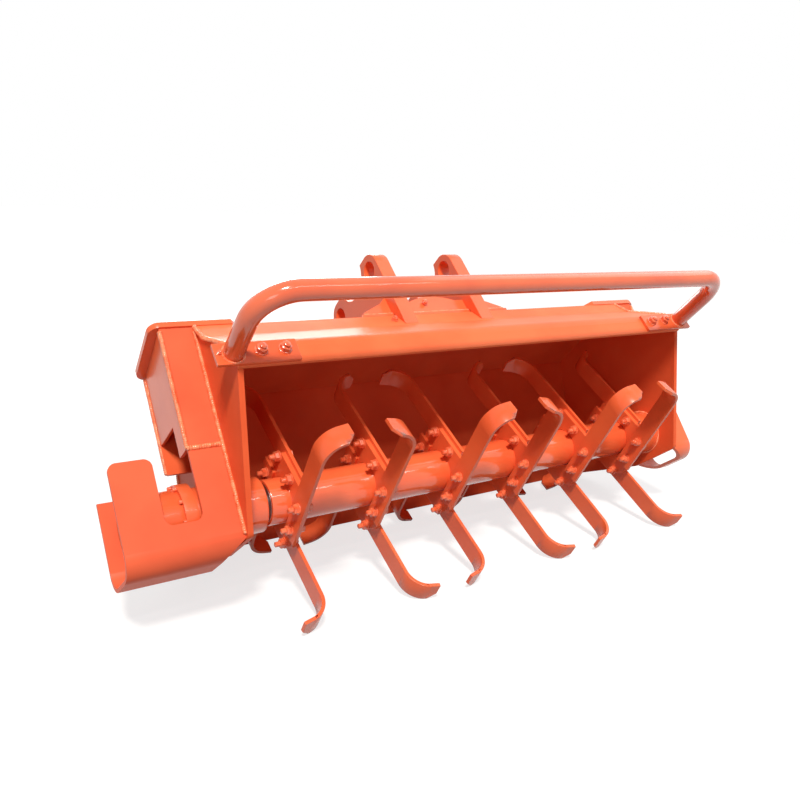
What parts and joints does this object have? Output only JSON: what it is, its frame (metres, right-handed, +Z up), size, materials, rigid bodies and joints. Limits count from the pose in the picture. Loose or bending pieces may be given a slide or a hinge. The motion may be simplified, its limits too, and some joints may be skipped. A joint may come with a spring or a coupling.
{
  "type": "excavator rotary tiller",
  "caption": "Rotary tiller attachment for an excavator: a plate hood over a motor driven shaft of curved tines, with a two pin hitch and a tubular push bar.",
  "frame": {"origin": "on the floor, under the middle of the whole part's box", "axes": "+X along the rotor to the bearing end, +Y to the back of the parked part, +Z up"},
  "size_m": [1.643, 0.7118, 0.7179],
  "materials": {
    "orange_paint": "glossy orange paint over steel plate",
    "shaft_steel": "turned steel"
  },
  "bodies": {
    "housing": {"bar_plate_left": "orange_paint", "bar_plate_right": "orange_paint", "bearing_cap": "orange_paint", "bearing_guard": "orange_paint", "bearing_hub_left": "orange_paint", "bearing_hub_right": "orange_paint", "cap_plate_left": "orange_paint", "cap_plate_right": "orange_paint", "column_front_left": "orange_paint", "column_front_right": "orange_paint", "column_outer_left": "orange_paint", "column_outer_right": "orange_paint", "column_rear_left": "orange_paint", "column_rear_right": "orange_paint", "hitch_base": "orange_paint", "hitch_ear_left": "orange_paint", "hitch_ear_right": "orange_paint", "hitch_front_wall": "orange_paint", "hitch_gusset_left": "orange_paint", "hitch_gusset_right": "orange_paint", "hitch_rear_wall": "orange_paint", "hood_front_panel": "orange_paint", "hood_rear_panel": "orange_paint", "hood_top_panel": "orange_paint", "motor_body": "orange_paint", "motor_flange": "orange_paint", "motor_guard": "orange_paint", "motor_mount": "orange_paint", "push_bar": "orange_paint", "side_plate_left": "orange_paint", "side_plate_right": "orange_paint"},
    "rotor": {"rotor_shaft_left": "shaft_steel", "rotor_shaft_right": "shaft_steel", "rotor_tube": "orange_paint", "tine_ring_1": "orange_paint", "tine_ring_2": "orange_paint", "tine_ring_3": "orange_paint", "tine_ring_4": "orange_paint", "tine_ring_5": "orange_paint", "tine_ring_6": "orange_paint"}
  },
  "joints": [
    {"name": "rotor_spin", "type": "hinge", "parent": "housing", "child": "rotor", "pos_m": [0.0685, -0.1393, 0.21658], "axis": [1, 0, 0], "continuous": true}
  ]
}
